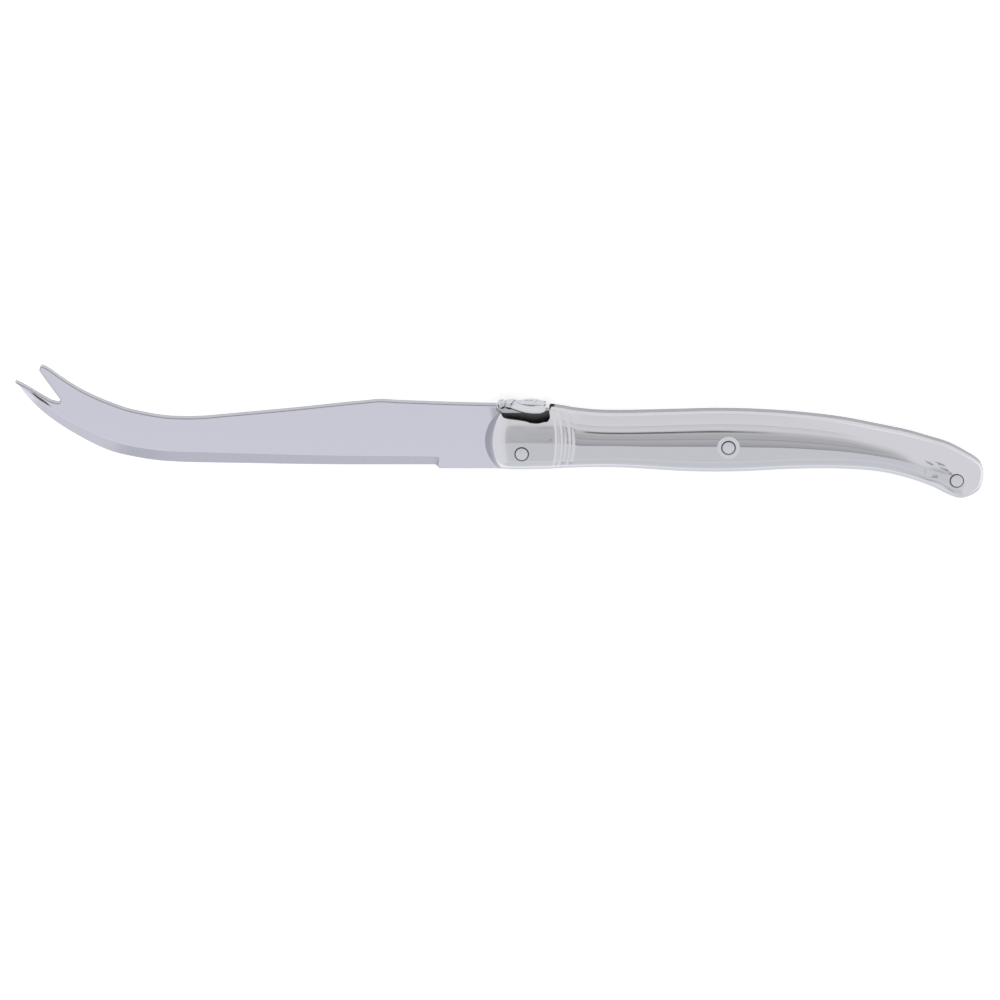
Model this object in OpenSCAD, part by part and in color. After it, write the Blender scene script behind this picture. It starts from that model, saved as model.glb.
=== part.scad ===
// Cheese knife with a forked tip: a flat full-tang blade, two hollow pressed
// handle shells, three pins with spacer bushes, and a bee ornament.
// The knife lies on its right side: tip towards -X, back towards +Y.

/* [Blade] */
// Length from the tip of the lower tine to the bolster
blade_l = 113.8; // [90:0.5:140]
// Depth from the cutting edge to the highest point of the back
blade_w = 16.2; // [13:0.1:20]
// Thickness of the blade and of the tang
blade_t = 2.5; // [1.8:0.1:3.2]
// Height of the upper tine above the cutting edge
tine_rise = 24.9; // [21:0.1:30]
// Length of the lower tine beyond the upper one
tine_lead = 6; // [4:0.1:9]
// Depth of the notch between the tines
notch_l = 5; // [3:0.1:7]
// Width of the ground bevel along the cutting edge
bevel_w = 2.85; // [1.5:0.05:4]
// Thickness left at the cutting edge
edge_t = 0.3; // [0.2:0.05:0.6]
// Length of the unground part in front of the bolster
ricasso_l = 11; // [7:0.5:16]
// Step from the cutting edge down to the ricasso
ricasso_drop = 0.7; // [0.4:0.05:1.2]

/* [Handle] */
// Length from the bolster's front to the butt
grip_l = 121.1; // [100:0.1:135]
// Greatest depth of the handle behind the neck
grip_w = 15.3; // [13:0.1:19]
// Thickness over the two flats
grip_t = 10; // [8.5:0.1:13]
// Length of the bolster and neck
neck_l = 22.3; // [18:0.1:26]
// Fall of the butt below the belly
butt_drop = 6.7; // [4:0.1:9]
// Sheet thickness of the shells
wall_t = 1; // [0.7:0.05:1.3]
// Width of the rounded shoulder on the back side of the flat
back_round_w = 7.6; // [6.4:0.1:8.2]
// Width of the rounded shoulder on the belly side of the flat
belly_round_w = 2.9; // [2:0.1:3.2]
// Sagitta of the bolster's bowed front
bolster_bow = 3.5; // [2.5:0.1:4]
// Depth of the opening in the shells under the bee
scallop_depth = 3.6; // [3:0.1:4.2]

/* [Pins] */
// Diameter of a pin
pin_d = 3; // [2.4:0.1:3.4]
// Diameter of the countersink round a pin's head
ring_d = 3.7; // [3.5:0.1:4]
// Depth of that countersink
ring_depth = 0.3; // [0.1:0.05:0.5]
// Outer diameter of a spacer bush
bush_d = 4.8; // [4.2:0.1:5.2]
// Front pin's distance behind the bolster's front
front_pin_x = 8.9; // [8:0.1:11]
// Height of the front pin above the cutting edge
front_pin_y = 4; // [3.6:0.1:5]
// Middle pin's distance behind the bolster's front
middle_pin_x = 59; // [45:0.5:70]
// Height of the middle pin above the cutting edge
middle_pin_y = 5.6; // [4.5:0.1:6.5]
// Rear pin's distance in front of the butt
rear_pin_inset = 6.6; // [5.8:0.1:8]
// Rear pin's distance below the middle line of the butt
rear_pin_low = 1.1; // [0:0.1:1.5]

/* [Bee] */
// Length of the bee
bee_l = 12.1; // [10:0.1:12.4]
// Width over the wing tips
bee_w = 9.8; // [8:0.1:11]
// Height of the bee's back above its seat
bee_h = 2.45; // [1.6:0.05:2.8]
// Depth of the seat in the tang's upper edge
seat_depth = 1.2; // [0.8:0.1:1.8]

/* [Hidden] */
steel = "#c8c8ce";
pin_steel = "#d2d2d8";
// Radial clearance of the pins in their holes
fit_gap = 0.05;
// Gap between a spacer bush and the inside of the shell
bush_gap = 0.2;
// How far a cutting shape runs past what it cuts
over = 1;
// Spans that a smooth curve is cut into between two of its points
handle_steps = 2;
blade_steps = 3;
// Radius of the rounded tip of the upper tine, and of the notch's bottom
tine_tip_r = 0.75;
notch_r = 0.8;
// Thickness of the bee's wings and their slope
wing_t = 0.7;
wing_slope = 16;

half_t = blade_t / 2;
rise = grip_t / 2 - half_t;
inner_share = 1 - wall_t / rise;
handle_l = grip_l - neck_l;

function last(v) = v[len(v) - 1];
function nth(rows, i) = rows[max(0, min(len(rows) - 1, i))];
// Catmull-Rom curve through rows of numbers, every column alike
function mixed(a, b, c, d, t) =
    0.5 * (2 * b + (c - a) * t + (2 * a - 5 * b + 4 * c - d) * t * t
    + (3 * b - a - 3 * c + d) * t * t * t);
function smooth(rows, n) = concat(
    [for (i = [0:len(rows) - 2], k = [0:n - 1])
        mixed(nth(rows, i - 1), rows[i], rows[i + 1], nth(rows, i + 2), k / n)],
    [last(rows)]);
function arc(centre, r, from, to, n) =
    [for (k = [0:n]) let (a = from + (to - from) * k / n) centre + r * [cos(a), sin(a)]];

// The blade's back in front of the bee's seat, to the root of the upper tine:
// shares of blade_l towards the tip and of blade_w above the cutting edge
back_shares = [[0.05, 0.95], [0.12, 0.967], [0.18, 0.983], [0.223, 1], [0.26, 0.976], [0.3, 0.95],
    [0.4, 0.872], [0.5, 0.804], [0.56, 0.765], [0.6, 0.739], [0.64, 0.731], [0.68, 0.746],
    [0.72, 0.791], [0.76, 0.855]];
// From there to the upper tine's tip: shares of the length and of the rise that are left
tine_shares = [[0.21, 0.143], [0.33, 0.237], [0.446, 0.339], [0.563, 0.455], [0.68, 0.594],
    [0.795, 0.741], [0.924, 0.922]];
// The cutting edge from the ricasso to the lower tine's tip: shares of blade_l, tine_rise and bevel_w
edge_shares = [[0.2, 0, 0.85], [0.3, 0, 0.88], [0.4, 0.005, 0.92], [0.5, 0.013, 0.96],
    [0.6, 0.021, 1], [0.65, 0.027, 1], [0.7, 0.044, 0.98], [0.75, 0.082, 0.96], [0.8, 0.141, 0.94],
    [0.85, 0.251, 0.84], [0.9, 0.391, 0.7], [0.94, 0.531, 0.6], [0.97, 0.67, 0.5],
    [0.99, 0.787, 0.35], [1, 0.845, 0.1]];
// The lower tine's upper edge: shares of the tine from its tip to the notch, and of tine_rise
lower_tine_shares = [[0.1, 0.83], [0.33, 0.776], [0.58, 0.71], [0.83, 0.647]];
// Height of the notch's bottom, as a share of tine_rise
notch_floor_share = 0.628;

// Where the blade's back ends, at the front of the bee's seat
seat_x = bolster_bow * 0.82;
upper_x = tine_lead - blade_l;
notch_x = upper_x + notch_l;
tine_tip = [upper_x + tine_tip_r, tine_rise - tine_tip_r];
tine_root = [-last(back_shares)[0] * blade_l, last(back_shares)[1] * blade_w];
notch_centre = [notch_x - notch_r, tine_rise * notch_floor_share + notch_r];
back_line = concat(
    [[seat_x, blade_w * 0.938]],
    [for (s = back_shares) [-s[0] * blade_l, s[1] * blade_w]],
    [for (s = tine_shares) [tine_root[0] + s[0] * (tine_tip[0] - tine_root[0]),
        tine_root[1] + s[1] * (tine_rise - tine_root[1])]],
    [[tine_tip[0], tine_rise]]);
// The heel, where the edge curves down to the ricasso, on a circle of this radius
heel_r = ricasso_drop * 2.5;
heel_turn = acos(1 - ricasso_drop / heel_r);
heel_x = -ricasso_l - heel_r * sin(heel_turn);
heel_line = arc([heel_x, -heel_r], heel_r, 90 - heel_turn, 90, 5);
edge_line = smooth(concat(
    [[heel_x, 0, 0.82 * bevel_w]],
    [for (s = edge_shares) [-s[0] * blade_l, s[1] * tine_rise, s[2] * bevel_w]]), blade_steps);
lower_tip = last(edge_line);
// From the lower tine's tip, along its upper edge, round the notch and up the upper tine
fork_line = concat(
    smooth(concat([[lower_tip[0], lower_tip[1]]],
        [for (s = lower_tine_shares)
            [lower_tip[0] + s[0] * (notch_centre[0] - lower_tip[0]), s[1] * tine_rise]]), blade_steps),
    arc(notch_centre, notch_r, -100, 34, 9),
    arc(tine_tip, tine_tip_r, 215, 100, 8));

// The handle's stations, each with the place along it, back, belly, crown, width of the back
// shoulder, bow, and end. Along the neck: shares of neck_l, grip_w, grip_w, rise,
// back_round_w, bolster_bow and wall_t
neck_shares = [[0.157, 0.878, -0.045, 0, 1.05, -1, 1], [0.185, 0.92, -0.046, 0.5, 1.05, -0.86, 1],
    [0.215, 0.955, -0.047, 0.76, 1.05, -0.8, 1], [0.245, 0.972, -0.048, 0.91, 1.05, -0.7, 0.8],
    [0.275, 0.978, -0.049, 0.985, 1.05, -0.52, 0.5], [0.32, 0.98, -0.05, 1, 1.05, -0.42, 0.2],
    [0.42, 0.981, -0.05, 1, 1.05, -0.2, 0], [0.54, 0.98, -0.047, 1, 1.05, 0, 0],
    [0.66, 0.979, -0.043, 1, 1.05, 0.2, 0], [0.71, 0.977, -0.041, 1, 1.05, 0.3, 0],
    [0.735, 0.975, -0.038, 0.93, 1.04, 0.34, 0], [0.76, 0.972, -0.036, 0.96, 1.04, 0.38, 0],
    [0.79, 0.965, -0.033, 0.91, 1.03, 0.4, 0], [0.835, 0.954, -0.03, 0.97, 1.02, 0.42, 0],
    [0.875, 0.944, -0.027, 0.92, 1.01, 0.42, 0], [0.92, 0.93, -0.023, 0.985, 1, 0.38, 0],
    [0.97, 0.918, -0.02, 1, 1, 0.28, 0]];
// Along the grip, which starts at the neck: shares of handle_l and of the same sizes
grip_shares = [[0.02, 0.897, -0.016, 1, 0.97, 0.12, 0], [0.06, 0.877, -0.013, 1, 0.93, 0, 0],
    [0.11, 0.873, -0.02, 1, 0.93, 0, 0], [0.17, 0.88, -0.042, 1, 0.96, 0, 0],
    [0.25, 0.893, -0.077, 1, 0.99, 0, 0], [0.34, 0.907, -0.091, 1, 1.02, 0, 0],
    [0.42, 0.898, -0.08, 1, 1.02, 0, 0], [0.5, 0.87, -0.052, 1, 0.98, 0, 0],
    [0.58, 0.823, -0.036, 1, 0.94, 0, 0], [0.66, 0.753, -0.043, 1, 0.88, 0, 0],
    [0.74, 0.648, -0.085, 0.99, 0.82, 0, 0]];
// Along the butt: the same, then how far back and belly drop, as shares of butt_drop
butt_shares = [[0.81, 0.56, -0.1, 0.96, 0.82, 0, 0, 0.02, 0.2],
    [0.87, 0.51, -0.1, 0.9, 0.86, 0, 0, 0.166, 0.52], [0.91, 0.46, -0.1, 0.87, 0.86, 0, 0, 0.24, 0.824],
    [0.94, 0.405, -0.1, 0.84, 0.84, 0, -0.2, 0.332, 0.981],
    [0.962, 0.34, -0.1, 0.8, 0.76, 0, -0.5, 0.373, 0.93],
    [0.98, 0.26, -0.09, 0.68, 0.62, 0, -0.8, 0.358, 0.821],
    [0.992, 0.17, -0.07, 0.48, 0.46, 0, -1, 0.321, 0.691], [1, 0.02, -0.03, 0.12, 0.2, 0, -1, 0.255, 0.424]];
function placed_row(s, x, drop = [0, 0]) =
    [x, s[1] * grip_w - drop[0] * butt_drop, s[2] * grip_w - drop[1] * butt_drop, s[3], s[4], s[5], s[6]];
curve = smooth(concat(
    [for (s = neck_shares) placed_row(s, s[0] * neck_l)],
    [for (s = grip_shares) placed_row(s, neck_l + s[0] * handle_l)],
    [for (s = butt_shares) placed_row(s, neck_l + s[0] * handle_l, [s[7], s[8]])]), handle_steps);
// No crown stands above the two flats
rows = [for (r = curve) [r[0], r[1], r[2], min(1, r[3]), r[4], r[5], r[6]]];
crowns = [for (r = rows) [r[0], r[3]]];
function crown_z(x) = half_t + rise * lookup(x, crowns);
function inside_z(x) = half_t + rise * lookup(x, crowns) * inner_share;

// The opening under the bee: shares of its length and of scallop_depth
scallop_x = bolster_bow;
scallop_l = neck_l * 0.56;
scallop_top = grip_w * 0.98;
scallop_shares = [[-0.06, 0.42], [0.03, 0.5], [0.09, 0.7], [0.19, 0.745], [0.37, 0.8], [0.51, 0.886],
    [0.61, 0.99], [0.74, 1], [0.86, 0.925], [0.93, 0.88], [0.975, 0.63], [0.965, 0.29], [1, 0.1],
    [1.03, -0.1]];
// The bee's seat in the tang
seat_y = grip_w * 0.993 - seat_depth;
seat_l = scallop_l * 1.04;
seat_floor = [[seat_x, seat_y], [seat_x + seat_l, seat_y]];

// One station of a shell's surface, from the rim at the back to the rim at the belly
back_n = 9;
belly_n = 6;
// Angle of the crease between a shoulder and the flat
crease = 5;
turn = 90 - crease;
// The bolster's front is an arc: its radius as a share of half its chord
bow_r_share = 1.25;
bow_end_share = sqrt(bow_r_share * bow_r_share - 1);
function bowed(s) = (sqrt(bow_r_share * bow_r_share - s * s) - bow_end_share) / (bow_r_share - bow_end_share);
// The belly's shoulder widens behind the neck
function belly_share(x) = lookup(x, [[neck_l, 1], [neck_l + handle_l * 0.2, 1.16]]);
function room(r) =
    min(1, (r[1] - r[2]) * 0.98 / (r[4] * back_round_w + belly_share(r[0]) * belly_round_w));
function station(r, inner) =
    let (
        shrink = 1 - inner * 2 * wall_t / grip_w,
        mid = (r[1] + r[2]) / 2,
        half = (r[1] - r[2]) / 2 * shrink,
        back_w = r[4] * back_round_w * room(r) * shrink,
        belly_w = belly_share(r[0]) * belly_round_w * room(r) * shrink,
        up = r[3] * rise * (1 - inner + inner * inner_share),
        side = concat(
            [for (k = [0:back_n]) let (a = turn * k / back_n)
                [mid + half - back_w * (1 - cos(a)) / (1 - cos(turn)), half_t + up * sin(a) / sin(turn)]],
            [for (k = [belly_n:-1:0]) let (a = turn * k / belly_n)
                [mid - half + belly_w * (1 - cos(a)) / (1 - cos(turn)), half_t + up * sin(a) / sin(turn)]]))
    [for (p = side)
        [r[0] + inner * r[6] * wall_t + bolster_bow * r[5] * bowed((p[0] - mid) / half), p[0], p[1]]];

// The closed skin of one half shell: its outer surface, its inner surface and the rim between them
function quad(a, b, c, d) = [[a, b, c], [a, c, d]];
module shell_skin() {
    n = len(rows);
    m = back_n + belly_n + 2;
    skin = concat([for (r = rows) each station(r, 0)], [for (r = rows) each station(r, 1)]);
    count = n * m;
    end = (n - 1) * m;
    polyhedron(skin, concat(
        [for (i = [0:n - 2], j = [0:back_n - 1])
            let (a = i * m + j) each quad(a, a + m, a + m + 1, a + 1)],
        [for (i = [0:n - 2], j = [back_n:m - 2])
            let (a = i * m + j) each quad(a + 1, a, a + m, a + m + 1)],
        [for (i = [0:n - 2], j = [0:back_n - 1])
            let (a = count + i * m + j) each quad(a, a + 1, a + m + 1, a + m)],
        [for (i = [0:n - 2], j = [back_n:m - 2])
            let (a = count + i * m + j) each quad(a + 1, a + m + 1, a + m, a)],
        [for (i = [0:n - 2]) let (a = i * m) each quad(a, count + a, count + a + m, a + m)],
        [for (i = [0:n - 2]) let (a = i * m + m - 1) each quad(a + m, count + a + m, count + a, a)],
        [for (j = [0:m - 2]) each quad(j, j + 1, count + j + 1, count + j)],
        [for (j = [0:m - 2]) let (a = end + j) each quad(a + 1, a, count + a, count + a + 1)]));
}

// The three pins' places: along the handle and above the cutting edge
function middle_y(x) = lookup(x, [for (r = rows) [r[0], (r[1] + r[2]) / 2]]);
rear_pin_x = grip_l - rear_pin_inset;
pins = [[front_pin_x, front_pin_y], [middle_pin_x, middle_pin_y],
    [rear_pin_x, middle_y(rear_pin_x) - rear_pin_low]];

// The knife's own place: the middle of its box, standing on the plane that its flats rest on
lowest = min([for (r = rows) r[2]]);
module placed() {
    translate([(blade_l - grip_l) / 2, -(tine_rise + lowest) / 2, grip_t / 2]) children();
}
// One side of the knife: 1 for the left, -1 for the right
module side(s) {
    mirror([0, 0, s > 0 ? 0 : 1]) children();
}

// The wedge of steel that grinding takes off one side of the edge
module bevel_cut() {
    n = len(edge_line);
    // How far the ground face falls for each unit across the bevel, and so past the edge
    drop = half_t - edge_t / 2;
    function away(i) =
        let (d = nth(edge_line, i + 1) - nth(edge_line, i - 1), l = norm([d[0], d[1]]))
        [d[1] / l, -d[0] / l];
    points = [for (i = [0:n - 1])
        let (e = edge_line[i], a = away(i), w = e[2])
        each [[e[0] + a[0] * w, e[1] + a[1] * w, half_t],
            [e[0] - a[0] * over, e[1] - a[1] * over, half_t - drop * (1 + over / w)],
            [e[0] - a[0] * over, e[1] - a[1] * over, half_t + over]]];
    polyhedron(points, concat(
        [for (i = [0:n - 2], j = [0:2])
            let (a = 3 * i + j, b = 3 * i + (j + 1) % 3) each quad(a, a + 3, b + 3, b)],
        [[0, 1, 2]],
        [[3 * n - 1, 3 * n - 2, 3 * n - 3]]));
}

module blade() {
    grip_back = [for (r = rows) if (r[0] > seat_x + seat_l + over) [r[0], r[1]]];
    grip_belly = [for (i = [len(rows) - 1:-1:0]) [rows[i][0], rows[i][2]]];
    edge = [for (i = [1:len(edge_line) - 1]) [edge_line[i][0], edge_line[i][1]]];
    back = smooth(back_line, blade_steps);
    color(steel) placed() difference() {
        translate([0, 0, -half_t]) linear_extrude(blade_t) polygon(concat(
            [for (i = [len(back) - 1:-1:0]) back[i]], seat_floor, grip_back, grip_belly,
            heel_line, edge, fork_line));
        for (s = [1, -1])
            side(s) bevel_cut();
        for (p = pins)
            translate([p[0], p[1], -half_t - over]) cylinder(h = blade_t + 2 * over, d = pin_d + 2 * fit_gap, $fn = 48);
    }
}

module shell() {
    lip = [for (s = scallop_shares) [scallop_x + s[0] * scallop_l, scallop_top - s[1] * scallop_depth]];
    difference() {
        shell_skin();
        translate([0, 0, -over]) linear_extrude(grip_t) polygon(concat(smooth(lip, handle_steps),
            [[last(lip)[0], scallop_top + over], [lip[0][0], scallop_top + over]]));
        for (p = pins) {
            translate([p[0], p[1], 0]) cylinder(h = grip_t, d = pin_d + 2 * fit_gap, $fn = 48);
            translate([p[0], p[1], crown_z(p[0]) - ring_depth]) cylinder(h = grip_t, d = ring_d, $fn = 48);
        }
    }
}
module left_handle_shell() {
    color(steel) placed() side(1) shell();
}
module right_handle_shell() {
    color(steel) placed() side(-1) shell();
}

// A pin, ground flush with the shells on both sides
module rivet(p) {
    color(pin_steel) placed() translate([p[0], p[1], -crown_z(p[0])])
        cylinder(h = 2 * crown_z(p[0]), d = pin_d, $fn = 48);
}
// A bush on that pin, between the tang and one shell
module spacer(p, s) {
    reach = inside_z(p[0] + bush_d / 2) - bush_gap;
    color(pin_steel) placed() side(s) translate([p[0], p[1], half_t]) difference() {
        cylinder(h = reach - half_t, d = bush_d, $fn = 48);
        translate([0, 0, -over]) cylinder(h = grip_t, d = pin_d + 2 * fit_gap, $fn = 48);
    }
}

// The bee, seen from the tang's side: head towards the blade, wings spread over the opening
module bee() {
    head_r = bee_h / 2;
    // The wings' roots cross the middle a little, so that they overlap there and don't only touch
    wing_shares = [[0.27, -0.04], [0.27, 0.5], [0.36, 0.73], [0.48, 0.92], [0.6, 0.99], [0.76, 1],
        [0.88, 0.98], [0.96, 0.86], [1, 0.6], [0.97, 0.3], [0.93, 0.05], [0.9, -0.04]];
    color(steel) placed() translate([seat_x + bee_l * 0.01, seat_y, 0]) {
        translate([bee_l * 0.03, 0, -half_t]) cube([bee_l * 0.88, bee_h * 0.5, blade_t]);
        for (s = [1, -1])
            side(s) translate([0, bee_h * 0.96, 0]) rotate([wing_slope, 0, 0]) rotate([90, 0, 0])
                linear_extrude(wing_t) polygon([for (w = wing_shares) [w[0] * bee_l, w[1] * bee_w / 2]]);
        hull() for (s = [1, -1])
            translate([head_r, head_r, s * head_r * 0.45]) sphere(r = head_r, $fn = 20);
        hull() for (s = [1, -1])
            translate([bee_l * 0.3, bee_h * 0.5, s * bee_h * 0.36]) sphere(r = head_r * 0.94, $fn = 20);
        hull() {
            translate([bee_l * 0.42, bee_h * 0.48, 0]) sphere(r = head_r * 0.9, $fn = 20);
            translate([bee_l * 0.78, bee_h * 0.48, 0]) sphere(r = head_r * 0.5, $fn = 16);
        }
    }
}

blade();
left_handle_shell();
right_handle_shell();
bee();
rivet(pins[0]);  // front_rivet
rivet(pins[1]);  // middle_rivet
rivet(pins[2]);  // rear_rivet
spacer(pins[0], 1);  // front_left_spacer
spacer(pins[0], -1);  // front_right_spacer
spacer(pins[1], 1);  // middle_left_spacer
spacer(pins[1], -1);  // middle_right_spacer
spacer(pins[2], 1);  // rear_left_spacer
spacer(pins[2], -1);  // rear_right_spacer
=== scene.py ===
import math

import bmesh
import bpy
import numpy as np
from mathutils import Matrix, Vector


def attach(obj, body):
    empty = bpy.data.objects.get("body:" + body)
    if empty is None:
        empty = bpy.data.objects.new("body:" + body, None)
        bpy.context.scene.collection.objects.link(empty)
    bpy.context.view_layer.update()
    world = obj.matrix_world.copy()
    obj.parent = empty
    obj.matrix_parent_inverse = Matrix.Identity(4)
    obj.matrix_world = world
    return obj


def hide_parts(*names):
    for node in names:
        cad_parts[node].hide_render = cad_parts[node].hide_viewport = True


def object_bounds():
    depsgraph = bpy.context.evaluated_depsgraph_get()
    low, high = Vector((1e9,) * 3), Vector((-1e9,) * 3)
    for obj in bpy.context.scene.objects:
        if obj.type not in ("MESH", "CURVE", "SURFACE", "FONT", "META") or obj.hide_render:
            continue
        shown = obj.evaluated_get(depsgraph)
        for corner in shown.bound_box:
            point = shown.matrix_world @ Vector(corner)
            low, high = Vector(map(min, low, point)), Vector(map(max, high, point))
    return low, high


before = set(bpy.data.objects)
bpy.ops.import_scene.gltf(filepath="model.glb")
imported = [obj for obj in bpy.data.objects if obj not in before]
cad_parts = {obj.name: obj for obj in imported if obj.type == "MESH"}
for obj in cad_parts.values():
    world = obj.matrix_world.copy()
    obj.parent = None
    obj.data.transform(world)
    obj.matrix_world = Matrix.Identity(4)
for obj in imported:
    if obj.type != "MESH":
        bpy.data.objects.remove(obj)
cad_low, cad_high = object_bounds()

# BLADE AND TANG
# One flat strip of hardened stainless steel, blanked with a forked tip and a full tang that runs
# through the handle. The sides are satin ground, the edge has a narrow bevel, the back is polished.
# Lengths are in mm: x from the bolster's front, y above the cutting edge, z from the middle plane.
blade_l, blade_w, blade_t = 113.8, 16.2, 2.5
tine_rise, tine_lead, notch_l = 24.9, 6.0, 5.0
bevel_w, edge_t = 2.85, 0.3
ricasso_l, ricasso_drop = 11.0, 0.7
broken_edge_w, fine_edge_w, tang_edge_w = 0.16, 0.14, 0.1
half_t = blade_t / 2
corner = Vector((-blade_l, tine_rise, 0))


def placed(point):
    """A point of the knife in mm, in the frame's metres."""
    x, y, z = point
    middle_z = (cad_low.z + cad_high.z) / 2
    return (cad_low.x + (x - corner.x) / 1000, cad_high.y + (y - corner.y) / 1000, middle_z + z / 1000)


def smooth(rows, steps):
    """Catmull-Rom curve through rows of numbers, every column alike."""
    rows = [np.array(r, float) for r in rows]
    curve = []
    for i in range(len(rows) - 1):
        a, b, c, d = rows[max(i - 1, 0)], rows[i], rows[i + 1], rows[min(i + 2, len(rows) - 1)]
        for k in range(steps):
            t = k / steps
            curve.append(0.5 * (2 * b + (c - a) * t + (2 * a - 5 * b + 4 * c - d) * t ** 2
                                + (3 * b - a - 3 * c + d) * t ** 3))
    return curve + [rows[-1]]


def arc(centre, r, start, end, steps):
    """Points on a circle, from one angle in degrees to another."""
    angles = [math.radians(start + (end - start) * k / steps) for k in range(steps + 1)]
    return [(centre[0] + r * math.cos(a), centre[1] + r * math.sin(a)) for a in angles]


# The handle's stations, which the tang's outline follows too. Along the neck: shares of its length,
# of the handle's depth at back and belly, of the height, the back shoulder, the bow and the end wall.
grip_l, grip_w, grip_t = 121.1, 15.3, 10.0
neck_l, butt_drop, wall_t, bolster_bow = 22.3, 6.7, 1.0, 3.5
neck_shares = [
    (0.157, 0.878, -0.045, 0, 1.05, -1, 1), (0.185, 0.92, -0.046, 0.5, 1.05, -0.86, 1),
    (0.215, 0.955, -0.047, 0.76, 1.05, -0.8, 1), (0.245, 0.972, -0.048, 0.9, 1.05, -0.7, 0.8),
    (0.275, 0.978, -0.049, 0.962, 1.05, -0.52, 0.5), (0.32, 0.98, -0.05, 0.989, 1.05, -0.42, 0.2),
    (0.42, 0.981, -0.05, 1, 1.05, -0.2, 0), (0.54, 0.98, -0.047, 1, 1.05, 0, 0),
    (0.66, 0.979, -0.043, 1, 1.05, 0.2, 0), (0.71, 0.977, -0.041, 0.999, 1.05, 0.3, 0),
    (0.735, 0.975, -0.038, 0.968, 1.04, 0.34, 0), (0.76, 0.972, -0.036, 0.982, 1.04, 0.38, 0),
    (0.79, 0.965, -0.033, 0.958, 1.03, 0.4, 0), (0.835, 0.954, -0.03, 0.984, 1.02, 0.42, 0),
    (0.875, 0.944, -0.027, 0.962, 1.01, 0.42, 0), (0.92, 0.93, -0.023, 0.993, 1, 0.38, 0),
    (0.97, 0.918, -0.02, 1, 1, 0.28, 0)]
grip_shares = [
    (0.02, 0.897, -0.016, 1, 0.97, 0.12, 0), (0.06, 0.877, -0.013, 1, 0.93, 0, 0),
    (0.11, 0.873, -0.02, 1, 0.93, 0, 0), (0.17, 0.88, -0.042, 1, 0.96, 0, 0),
    (0.25, 0.893, -0.077, 1, 0.99, 0, 0), (0.34, 0.907, -0.091, 1, 1.02, 0, 0),
    (0.42, 0.898, -0.08, 1, 1.02, 0, 0), (0.5, 0.87, -0.052, 1, 0.98, 0, 0),
    (0.58, 0.823, -0.036, 1, 0.94, 0, 0), (0.66, 0.753, -0.043, 1, 0.88, 0, 0),
    (0.74, 0.648, -0.085, 0.99, 0.82, 0, 0)]
# Along the butt there are two more columns: how far back and belly drop, as shares of butt_drop.
butt_shares = [
    (0.81, 0.56, -0.1, 0.96, 0.82, 0, 0, 0.02, 0.2),
    (0.87, 0.51, -0.1, 0.9, 0.86, 0, 0, 0.166, 0.52),
    (0.91, 0.46, -0.1, 0.87, 0.86, 0, 0, 0.24, 0.824),
    (0.94, 0.405, -0.1, 0.84, 0.84, 0, -0.2, 0.332, 0.981),
    (0.962, 0.34, -0.1, 0.8, 0.76, 0, -0.5, 0.373, 0.93),
    (0.98, 0.26, -0.09, 0.68, 0.62, 0, -0.8, 0.358, 0.821),
    (0.992, 0.17, -0.07, 0.48, 0.46, 0, -1, 0.321, 0.691),
    (1, 0.02, -0.03, 0.12, 0.2, 0, -1, 0.255, 0.424)]


def handle_row(s, x, back_drop=0.0, belly_drop=0.0):
    """One station in mm: its place, back, belly, and the shares that shape its surface."""
    return (x, s[1] * grip_w - back_drop * butt_drop, s[2] * grip_w - belly_drop * butt_drop, *s[3:7])


behind_neck = grip_l - neck_l
key_rows = [handle_row(s, s[0] * neck_l) for s in neck_shares]
key_rows += [handle_row(s, neck_l + s[0] * behind_neck) for s in grip_shares]
key_rows += [handle_row(s, neck_l + s[0] * behind_neck, s[7], s[8]) for s in butt_shares]
handle_rows = smooth(key_rows, 6)

# The blade's outline, clockwise from the upper tine's tip: back, seat of the bee, tang, heel,
# cutting edge, lower tine and notch.
seat_x, seat_depth, seat_l = bolster_bow * 0.82, 1.2, 12.99
seat_y = grip_w * 0.993 - seat_depth
back_shares = [
    (0.05, 0.95), (0.12, 0.967), (0.18, 0.983), (0.223, 1), (0.26, 0.976), (0.3, 0.95), (0.4, 0.872),
    (0.5, 0.804), (0.56, 0.765), (0.6, 0.739), (0.64, 0.731), (0.68, 0.746), (0.72, 0.791), (0.76, 0.855)]
tine_shares = [(0.21, 0.143), (0.33, 0.237), (0.446, 0.339), (0.563, 0.455), (0.68, 0.594), (0.795, 0.741),
               (0.924, 0.922)]
edge_shares = [
    (0.2, 0, 0.85), (0.3, 0, 0.88), (0.4, 0.005, 0.92), (0.5, 0.013, 0.96), (0.6, 0.021, 1),
    (0.65, 0.027, 1), (0.7, 0.044, 0.98), (0.75, 0.082, 0.96), (0.8, 0.141, 0.94), (0.85, 0.251, 0.84),
    (0.9, 0.391, 0.7), (0.94, 0.531, 0.6), (0.97, 0.67, 0.45), (0.99, 0.787, 0.17), (1, 0.845, 0.03)]
lower_tine_shares = [(0.1, 0.83), (0.33, 0.776), (0.58, 0.71), (0.83, 0.647)]
tine_tip_r, notch_r, notch_floor_share = 0.75, 0.8, 0.628
upper_x = tine_lead - blade_l
tine_tip = (upper_x + tine_tip_r, tine_rise - tine_tip_r)
notch_centre = (upper_x + notch_l - notch_r, tine_rise * notch_floor_share + notch_r)
tine_root = (-back_shares[-1][0] * blade_l, back_shares[-1][1] * blade_w)
back_line = [(seat_x, blade_w * 0.938)] + [(-a * blade_l, b * blade_w) for a, b in back_shares]
back_line += [(tine_root[0] + a * (tine_tip[0] - tine_root[0]),
               tine_root[1] + b * (tine_rise - tine_root[1])) for a, b in tine_shares]
back_line += [(tine_tip[0], tine_rise)]
heel_r = ricasso_drop * 2.5
heel_turn = math.degrees(math.acos(1 - ricasso_drop / heel_r))
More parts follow.
